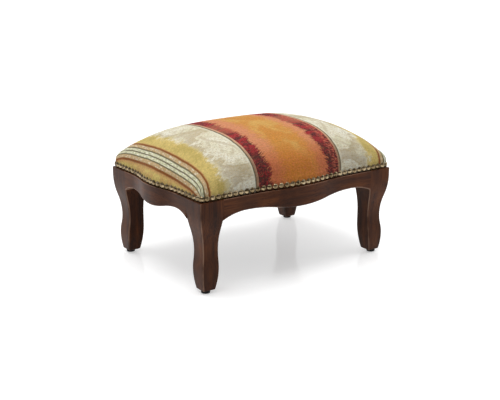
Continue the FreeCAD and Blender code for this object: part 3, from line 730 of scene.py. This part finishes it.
class StripedCloth:
    """The cover's cloth, as one material that is put together stripe by stripe."""

    def __init__(self):
        graph = material_graph("striped_cloth")
        self.graph = graph
        uv = graph.node("ShaderNodeUVMap", {"uv_map": "cloth"}).outputs[0]
        along, across, _ = graph.parts(uv)
        self.u = graph.math("MULTIPLY_ADD", along, 1 / MM, PATTERN_SHIFT)
        self.v = graph.times(across, 1 / MM)
        self.side = graph.math("ABSOLUTE", self.u)
        self.on_right = graph.step(self.u, -1.0, 1.0)
        self.front_end = graph.rest(graph.step(self.v, *FRONT_END))
        self.add_noises()
        self.distance = self.bowed_distance()
        self.in_middle = graph.rest(graph.step(self.distance, *MIDDLE_END))
        self.softened = self.softened_distance()

    def grain(self, u_scale, v_scale, detail=2.0, roughness=0.5, shift=0.0):
        """Noise over the cloth, with so many grains to the millimetre along u and v."""
        graph = self.graph
        where = graph.join(graph.times(self.u, u_scale), graph.times(self.v, v_scale), shift)
        return graph.noise(where, 1.0, detail, roughness)

    def tint(self, colour, share, strength, second):
        """Part of a colour turned into a second one."""
        return self.graph.mix(self.graph.times(share, strength), colour, second)

    def ramp(self, distance, stops):
        share = self.graph.math("DIVIDE", distance, STRIPE_SPAN)
        return self.graph.ramp(share, [(place / STRIPE_SPAN, colour) for place, colour in stops])

    def add_noises(self):
        """Slanting threads, and grains of several sizes, that the stripes share."""
        graph = self.graph
        self.slant = graph.math("MULTIPLY_ADD", self.side, 0.55, self.v)
        slanting = graph.join(graph.times(self.side, 0.05), graph.times(self.slant, 0.42))
        self.threads = graph.noise(slanting, 1.0, 3.0, 0.75)
        self.tufts = self.grain(0.035, 0.08, 3.0, 0.6)
        self.ragged = graph.plus(graph.fit(self.threads, -22.0, 22.0), graph.fit(self.tufts, -16.0, 16.0))
        self.flecks = self.grain(0.17, 0.3, 3.0, 0.8)
        self.specks = self.grain(0.24, 0.27, 2.0, 0.8, 3.0)
        self.mottle = self.grain(0.03, 0.024, 4.0, 0.65, 7.0)

    def bowed_distance(self):
        """Distance from the middle stripe's middle, for stripes that bow, drift and wobble a little."""
        graph = self.graph
        off_bow = graph.math("SUBTRACT", self.v, BOW_MIDDLE)
        bow = graph.times(self.side, self.side, off_bow, off_bow, BOW)
        wobble = graph.fit(self.grain(0.03, 0.05), -WOBBLE, WOBBLE)
        drift = graph.times(self.on_right, graph.step(self.v, DRIFT_START, DRIFT_END), DRIFT)
        return graph.plus(graph.plus(self.side, bow), graph.plus(wobble, drift))

    def softened_distance(self):
        """The distance, stirred up where edges are ragged: in the middle stripe and from cream to gold."""
        graph = self.graph
        gold_edge = graph.between(self.distance, *GOLD_EDGE, 8.0)
        stirred = graph.plus(graph.times(self.in_middle, 1.1), graph.times(gold_edge, 0.9))
        softened = graph.plus(self.distance, graph.times(self.ragged, stirred))
        return graph.plus(softened, graph.times(gold_edge, graph.fit(self.mottle, -44.0, 44.0)))

    def stripes(self):
        middle = self.ramp(self.softened, STRIPES)
        ends = self.ramp(self.distance, END_STRIPES)
        return self.graph.mix(self.graph.step(self.distance, *ENDS_FROM), middle, ends)

    def middle_tones(self, colour):
        """Gold patches, strokes and rosy threads in the middle stripe, and deeper tones at its front."""
        graph = self.graph
        inside = self.in_middle
        clouds = self.grain(0.02, 0.014, 4.0, 0.6)
        heart = graph.rest(graph.step(self.softened, *HEART_END))
        colour = self.tint(colour, graph.times(heart, graph.step(clouds, 0.44, 0.6)), 0.9, AMBER)
        rosy = graph.times(graph.step(self.threads, 0.54, 0.68), graph.step(self.softened, 18.0, 60.0))
        colour = self.tint(colour, graph.times(inside, rosy), 0.5, ROSE)
        slanting = graph.join(graph.times(self.slant, 0.03), graph.times(self.v, 0.22), 2.0)
        strokes = graph.noise(slanting, 1.0, 4.0, 0.7)
        colour = self.tint(colour, graph.times(inside, graph.step(strokes, 0.52, 0.66)), 0.4, DEEP_ORANGE)
        colour = self.tint(colour, graph.times(inside, graph.step(strokes, 0.44, 0.34)), 0.3, AMBER)
        front = graph.times(inside, self.front_end)
        colour = self.tint(colour, front, 0.75, DEEP_ORANGE)
        colour = self.tint(colour, graph.times(front, graph.step(self.softened, 24.0, 62.0)), 0.55, ROSE)
        return self.tint(colour, graph.times(front, graph.step(self.flecks, 0.5, 0.62)), 0.5, ROSE)

    def red_start(self, beat):
        """The inner edge of the red, which is wider on the right, and on the left at the front."""
        graph = self.graph
        start = graph.math("MULTIPLY_ADD", beat, -RED_SWING, RED_START)
        at_back = graph.step(self.v, *RED_BACK)
        shares = [
            graph.times(self.on_right, RED_RIGHT),
            graph.times(self.on_right, at_back, RED_RIGHT),
            graph.times(self.front_end, graph.rest(self.on_right), RED_LEFT_FRONT),
        ]
        for share in shares:
            start = graph.math("SUBTRACT", start, share)
        return start

    def red_tone(self):
        """Crimson and maroon blotches with dark specks, dull at the front and paler at the right edge."""
        graph = self.graph
        blotches = graph.plus(graph.times(self.flecks, 0.45), graph.times(self.tufts, 0.55))
        red = graph.mix(graph.step(blotches, 0.44, 0.54), MAROON, CRIMSON)
        sooty = graph.times(graph.step(self.specks, 0.5, 0.4), graph.step(blotches, 0.54, 0.46))
        red = self.tint(red, sooty, 0.7, SOOT)
        front = graph.rest(graph.step(self.v, *RED_FRONT_END))
        red = self.tint(red, graph.times(front, graph.step(self.specks, 0.6, 0.46)), 0.85, SOOT)
        red = self.tint(red, graph.times(front, graph.step(self.flecks, 0.54, 0.6)), 0.6, OLIVE)
        right_edge = graph.times(self.on_right, graph.step(self.side, *RED_PALE_EDGE))
        return self.tint(red, graph.times(right_edge, graph.step(self.flecks, 0.46, 0.56)), 0.7, ROSE)

    def red_blocks(self, colour):
        """Red blocks along the edge of the middle stripe, with thread ends pulled out of line."""
        graph = self.graph
        phase = math.pi / 2 - 2 * math.pi * BLOCK_MIDDLE / PATTERN_REPEAT
        beat = graph.wave(self.v, PATTERN_REPEAT, phase)
        inside = graph.math("SUBTRACT", graph.plus(self.side, self.ragged), self.red_start(beat))
        before_cord = graph.rest(graph.step(self.distance, *RED_END))
        red_part = graph.times(graph.step(inside, -1.5, 1.5), before_cord)
        block = graph.math("MAXIMUM", graph.step(beat, -0.75, 0.05), graph.step(self.v, *RED_FRONT))
        streaks = graph.step(self.threads, 0.52, 0.64)
        strength = graph.times(red_part, graph.fit(block, 0.72, 1.0), graph.fit(streaks, 1.0, 0.85))
        return graph.mix(strength, colour, self.red_tone())

    def gold_tones(self, colour):
        """Second tones in the gold stripe."""
        graph = self.graph
        in_gold = graph.between(self.distance, *GOLD_BAND, 5.0)
        colour = self.tint(colour, graph.times(in_gold, graph.step(self.mottle, 0.45, 0.6)), 0.7, MOSS)
        return self.tint(colour, graph.times(in_gold, graph.step(self.flecks, 0.58, 0.7)), 0.5, RUST_EDGE)

    def leaves(self, colour):
        """Large leaves in the cream stripe, shaded outside their edges, with small dots and pale lights."""
        graph = self.graph
        in_cream = graph.between(self.distance, *CREAM_BAND, 6.0)
        half_repeat = PATTERN_REPEAT / 2
        turn = graph.math("SUBTRACT", self.v, LEAF_MIDDLE[1])
        turn = graph.math("WRAP", turn, half_repeat, -half_repeat)
        leaf_u = graph.math("DIVIDE", graph.math("SUBTRACT", self.softened, LEAF_MIDDLE[0]), LEAF_HALF[0])
        leaf_v = graph.math("DIVIDE", turn, LEAF_HALF[1])
        leaf = graph.math("SQRT", graph.plus(graph.times(leaf_u, leaf_u), graph.times(leaf_v, leaf_v)))
        leaf = graph.plus(leaf, graph.fit(self.tufts, -0.35, 0.35))
        outside = graph.times(graph.step(leaf, 0.86, 1.0), graph.rest(graph.step(leaf, 1.02, 1.5)))
        edge = graph.between(leaf, 0.97, 1.01, 0.03)
        sway = graph.times(graph.wave(self.v, PATTERN_REPEAT), 0.35)
        rib = graph.math("ABSOLUTE", graph.plus(leaf_u, sway))
        at_rib = graph.rest(graph.step(rib, 0.03, 0.14))
        rib_line = graph.times(at_rib, graph.rest(graph.step(leaf, 0.7, 0.9)))
        veins = graph.wave(graph.plus(turn, graph.times(rib, VEIN_SLANT)), VEIN_PITCH)
        inside = graph.rest(graph.step(leaf, 0.8, 0.95))
        self.veins = graph.times(graph.step(veins, 0.2, 0.9), inside, graph.step(self.mottle, 0.4, 0.6))
        self.dots = graph.step(self.specks, 0.5, 0.6)
        tones = [
            (graph.step(self.mottle, 0.4, 0.7), 0.6, MINT),
            (graph.step(self.mottle, 0.52, 0.3), 0.8, IVORY),
            (outside, 0.6, BEIGE),
            (graph.math("MAXIMUM", self.veins, rib_line), 0.42, BEIGE),
            (edge, 0.55, BEIGE),
            (self.dots, 0.75, BEIGE),
        ]
        for share, strength, second in tones:
            colour = self.tint(colour, graph.times(in_cream, share), strength, second)
        return colour

    def narrow_stripes(self, colour):
        """Broken tones in the narrow stripes, and mottled gold past the last of them."""
        graph = self.graph
        dashes = self.grain(0.34, 0.1, 2.0, 0.6, 5.0)
        pale = graph.step(dashes, 0.52, 0.62)
        dull = graph.step(dashes, 0.48, 0.38)
        for low, high in MINT_BANDS:
            band = graph.between(self.distance, low, high, NARROW_SOFT)
            colour = self.tint(colour, graph.times(band, pale), 0.8, IVORY)
            colour = self.tint(colour, graph.times(band, dull), 0.65, SAGE)
        for low, high in TAN_BANDS:
            band = graph.between(self.distance, low, high, NARROW_SOFT)
            colour = self.tint(colour, graph.times(band, pale), 0.6, IVORY)
        past_end = graph.step(self.distance, *END_GOLD)
        return self.tint(colour, graph.times(past_end, graph.step(self.mottle, 0.42, 0.58)), 0.6, RUST_EDGE)

    def cord(self, colour):
        """The twist of the cord beside the red, and its darker front."""
        graph = self.graph
        turns = graph.wave(graph.plus(self.v, graph.times(self.side, CORD_SLANT)), CORD_TWIST)
        in_cord = graph.between(self.distance, *CORD_BAND, NARROW_SOFT)
        colour = self.tint(colour, graph.times(in_cord, graph.step(turns, 0.0, 0.7)), 0.4, BARK)
        return self.tint(colour, graph.times(in_cord, graph.step(self.v, *CORD_FRONT)), 0.45, BARK)

    def shade_nail_row(self, colour):
        """Painted shade on the cloth low down, between and under the nails."""
        graph = self.graph
        height = graph.parts(graph.place((1 / MM, 1 / MM, 1 / MM)))[UP]
        ragged_top = graph.plus(height, graph.fit(self.specks, -3.0, 3.0))
        low = graph.step(ragged_top, NAIL_HEIGHT + 6.0, NAIL_HEIGHT + 1.0)
        return self.tint(colour, low, 0.8, NAIL_ROW_SHADE)

    def material(self):
        """All the stripes together, with thread by thread variation and the weave itself."""
        graph = self.graph
        colour = self.stripes()
        colour = self.middle_tones(colour)
        colour = self.red_blocks(colour)
        colour = self.gold_tones(colour)
        colour = self.leaves(colour)
        colour = self.narrow_stripes(colour)
        colour = self.cord(colour)
        # Painted shade on the cloth round the nails
        colour = self.shade_nail_row(colour)
        warp = self.grain(1.5, 0.02, 1.0)
        weft = self.grain(0.03, 1.3, 1.0)
        lines = graph.fit(graph.plus(graph.times(warp, 0.5), graph.times(weft, 0.5)), 0.74, 1.14)
        grains = graph.plus(graph.times(self.specks, 0.6), graph.times(self.flecks, 0.4))
        tone = graph.plus(lines, graph.fit(grains, -0.72, 0.8))
        # Painted light: the cloth towards the ends is painted paler, standing in for light on the end
        # slopes
        tone = graph.times(tone, graph.fit(graph.step(self.distance, *PAINTED_LIGHT_ENDS), 1.0, 1.18))
        colour = graph.mix(1.0, colour, graph.join(tone, tone, tone), "MULTIPLY")
        weave = graph.weave(self.u, self.v, THREAD_PITCH)
        colour = graph.mix(graph.fit(weave, 0.1, 0.0), colour, BARK)
        normal = graph.bump(weave, 0.00018)
        normal = graph.bump(graph.plus(self.veins, self.dots), 0.00025, normal)
        normal = graph.bump(weft, 0.0002, normal)
        return graph.surface(
            Base_Color=colour,
            Roughness=graph.fit(self.veins, 0.85, 0.7),
            Normal=normal,
            Sheen_Weight=0.06,
            Sheen_Roughness=0.4,
            IOR=1.35,
        )


# Stage, in metres and watts

FLOOR_WHITE = (0.86, 0.86, 0.86, 1.0)
FLOOR_GLOW = 0.46
FLOOR_ROUGHNESS = 0.12
FLOOR_IOR = 1.5
FLOOR_HALF = 20.0
WORLD_DARK = 0.13
WORLD_BRIGHT = 1.0
BRIGHT_SIDE = (0.15, 0.35, 0.92)
BRIGHT_FROM = 0.2  # how far a direction has to agree with that side before it is brighter
WHITE_BELOW = 0.2  # the background is white up to this slope over the floor, for views from low down
WHITE_FADE = 0.04
LAMP_TARGET = (0.0, 0.0, 0.2)
TOP_LAMP = {"place": (-0.3, 0.06, 2.2), "size": (1.8, 1.6), "power": 30.0}
RIGHT_LAMP = {"place": (1.8, -0.5, 1.1), "size": (1.2, 1.2), "power": 5.0}


def look_at(thing, target):
    thing.rotation_euler = (Vector(target) - thing.location).to_track_quat("-Z", "Y").to_euler()


def make_camera():
    data = bpy.data.cameras.new("camera")
    data.lens = CAMERA_LENS
    data.sensor_width = CAMERA_SENSOR
    data.sensor_fit = "HORIZONTAL"
    camera = bpy.data.objects.new("camera", data)
    bpy.context.scene.collection.objects.link(camera)
    camera.location = Vector(CAMERA_PLACE) * MM
    flat = math.cos(CAMERA_PITCH)
    ahead = Vector((math.sin(CAMERA_YAW) * flat, math.cos(CAMERA_YAW) * flat, -math.sin(CAMERA_PITCH)))
    look_at(camera, camera.location + ahead)
    bpy.context.scene.camera = camera


def seen_ray(graph):
    """1 for a ray that shows the background: straight to the camera, in a gloss or through something."""
    rays = graph.node("ShaderNodeLightPath").outputs
    seen = graph.math("MAXIMUM", rays["Is Camera Ray"], rays["Is Glossy Ray"])
    return graph.math("MAXIMUM", seen, rays["Is Transmission Ray"])


def make_floor():
    half = FLOOR_HALF
    corners = [(-half, -half, 0), (half, -half, 0), (half, half, 0), (-half, half, 0)]
    data = bpy.data.meshes.new("floor")
    data.from_pydata(corners, [], [(0, 1, 2, 3)])
    floor = bpy.data.objects.new("floor", data)
    bpy.context.scene.collection.objects.link(floor)
    graph = material_graph("white_floor")
    material = graph.surface(
        Base_Color=FLOOR_WHITE,
        Roughness=FLOOR_ROUGHNESS,
        IOR=FLOOR_IOR,
        Emission_Color=WHITE,
        Emission_Strength=graph.times(seen_ray(graph), FLOOR_GLOW),
    )
    data.materials.append(material)


def make_world():
    """A studio that is brightest overhead and a little to the back, and white behind the object."""
    world = bpy.data.worlds.new("studio")
    bpy.context.scene.world = world
    graph = Graph(world)
    direction = graph.node("ShaderNodeTexCoord").outputs["Generated"]
    inputs = {0: direction, 1: BRIGHT_SIDE}
    towards = graph.node("ShaderNodeVectorMath", {"operation": "DOT_PRODUCT"}, inputs).outputs["Value"]
    level = graph.fit(graph.step(towards, BRIGHT_FROM, 1.0), WORLD_DARK, WORLD_BRIGHT)
    slope = graph.parts(direction)[UP]
    low_down = graph.rest(graph.step(slope, WHITE_BELOW, WHITE_BELOW + WHITE_FADE))
    white = graph.times(seen_ray(graph), low_down)
    level = graph.math("MAXIMUM", level, white)
    background = graph.node("ShaderNodeBackground", {}, {"Color": WHITE, "Strength": level})
    graph.finish(background, "ShaderNodeOutputWorld")


def make_lamp(name, place, size, power):
    data = bpy.data.lights.new(name, "AREA")
    data.shape = "RECTANGLE"
    data.size, data.size_y = size
    data.energy = power
    lamp = bpy.data.objects.new(name, data)
    bpy.context.scene.collection.objects.link(lamp)
    lamp.location = place
    look_at(lamp, LAMP_TARGET)


bpy.context.scene.view_settings.view_transform = "Standard"
make_camera()
make_floor()
make_world()
make_lamp("top_softbox", **TOP_LAMP)
make_lamp("right_softbox", **RIGHT_LAMP)

# Frame nodes
CORNERS = ("front_left", "front_right", "back_right", "back_left")
dress(["leg_" + corner for corner in CORNERS], show_wood("show_wood_upright", UP))
dress(["rail_front", "rail_back"], show_wood("show_wood_long", 0))
dress(["rail_left", "rail_right"], show_wood("show_wood_short", 1))
dress(["glide_" + corner for corner in CORNERS], black_plastic())
dress(["corner_brace_" + corner for corner in CORNERS] + ["dowels"], plain_wood())
dress(["brace_screws", "glide_pins", "webbing_staples", "dust_cover_staples"], steel())
dress(["upholstery_nails"], antique_brass())
straps = [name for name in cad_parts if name.startswith("webbing_") and name != "webbing_staples"]
dress(straps, woven("jute_webbing", WEBBING_DARK, WEBBING_LIGHT, pitch=2.2, rough=0.85))


def link(name, data, material):
    piece = bpy.data.objects.new(name, data)
    bpy.context.scene.collection.objects.link(piece)
    data.materials.append(material)
    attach(piece, "root")
    return piece


# Padded seat
seat_data, seat_cloth, seat_outer = seat_mesh("padded_seat")
seat = link("padded_seat", seat_data, StripedCloth().material())
seat_points = read_points(seat_data)
seat_points = seat_points + carried_over(*settled(seat), seat_points)
write_points(seat_data, seat_points)
seat_normals = read_normals(seat_data)
seat_relief = relief(seat_points, seat_normals, seat_cloth)
seat_relief[seat_outer:] = 0.0
write_points(seat_data, seat_points + seat_normals * seat_relief[:, None])
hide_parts("seat_cover", "wadding", "foam_pad")


# Sheets under the seat

DUST_SAG = 3.0
DUST_RIPPLE = 0.25
RIPPLE_ALONG = (19.0, 33.0)  # along x and y, for each radian of a slanting set of ripples
RIPPLE_ACROSS = (41.0, 17.0)
SHEET_CELL = 6.0


def cuts(*stops):
    """Places between stops, about a cell apart, with every stop among them."""
    places = [stops[:1]]
    for low, high in zip(stops, stops[1:]):
        cells = max(2, round((high - low) / SHEET_CELL))
        places.append(np.linspace(low, high, cells + 1)[1:])
    return np.concatenate(places)


def sheet_piece(name, points, keep, thickness, material):
    """A thin piece of cloth over a grid of points, without the cells that keep leaves out."""
    columns, rows = points.shape[:2]
    index = np.arange(columns * rows).reshape(columns, rows)
    used, faces = np.unique(grid_cells(index)[keep], return_inverse=True)
    data = bpy.data.meshes.new(name)
    data.from_pydata((points.reshape(-1, 3)[used] * MM).tolist(), [], faces.reshape(-1, 4).tolist())
    data.shade_smooth()
    piece = link(name, data, material)
    body = piece.modifiers.new("thickness", "SOLIDIFY")
    body.thickness = thickness * MM
    body.offset = 0.0
    return piece


def dust_sheet():
    """Black cloth stapled inside the rails, sagging a little, its corners cut out at the posts."""
    half_x = LENGTH / 2 - RAIL_THICKNESS - SEAT_GAP - DUST_THICKNESS / 2
    half_y = DEPTH / 2 - RAIL_THICKNESS - SEAT_GAP - DUST_THICKNESS / 2
    post_x = LENGTH / 2 - POST_SIDE - SEAT_GAP
    post_y = DEPTH / 2 - POST_SIDE - SEAT_GAP
    turned = DUST_FLANGE - DUST_THICKNESS / 2
    xs = cuts(-half_x - turned, -half_x, -post_x, post_x, half_x, half_x + turned)
    ys = cuts(-half_y - turned, -half_y, -post_y, post_y, half_y, half_y + turned)
    flat_x, flat_y = np.meshgrid(xs, ys, indexing="ij")
    x = np.clip(flat_x, -half_x, half_x)
    y = np.clip(flat_y, -half_y, half_y)
    up = np.abs(flat_x - x) + np.abs(flat_y - y)
    slack = (1 - (x / half_x) ** 2) * (1 - (y / half_y) ** 2)
    along = np.sin(x / RIPPLE_ALONG[0] + y / RIPPLE_ALONG[1])
    across = np.sin(y / RIPPLE_ACROSS[1] - x / RIPPLE_ACROSS[0])
    ripple = DUST_RIPPLE * along * across
    z = LEDGE_HEIGHT - DUST_DEPTH + DUST_THICKNESS / 2 + up - slack * (DUST_SAG + ripple)
    middle_x = (np.abs(flat_x[:-1, :-1] + flat_x[1:, 1:])) / 2
    middle_y = (np.abs(flat_y[:-1, :-1] + flat_y[1:, 1:])) / 2
    keep = ~((middle_x > post_x) & (middle_y > post_y))
    piece = sheet_piece(
        "dust_sheet", np.stack([x, y, z], axis=-1), keep, DUST_THICKNESS,
        woven("black_cambric", CAMBRIC_DARK, CAMBRIC_LIGHT, pitch=0.9, rough=0.8),
    )
    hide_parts("dust_cover")


def burlap_sheet():
    """Jute cloth over the webbing, under the foam."""
    half_x = LENGTH / 2 - PAD_INSET - SEAT_GAP
    half_y = DEPTH / 2 - PAD_INSET - SEAT_GAP
    x, y = np.meshgrid(cuts(-half_x, half_x), cuts(-half_y, half_y), indexing="ij")
    z = np.full_like(x, BURLAP_BOTTOM + BURLAP_THICKNESS / 2)
    keep = np.ones((x.shape[0] - 1, x.shape[1] - 1), dtype=bool)
    piece = sheet_piece(
        "burlap_sheet", np.stack([x, y, z], axis=-1), keep, BURLAP_THICKNESS,
        woven("jute_burlap", BURLAP_DARK, BURLAP_LIGHT, pitch=2.6, rough=0.9),
    )
    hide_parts("burlap")


dust_sheet()
burlap_sheet()
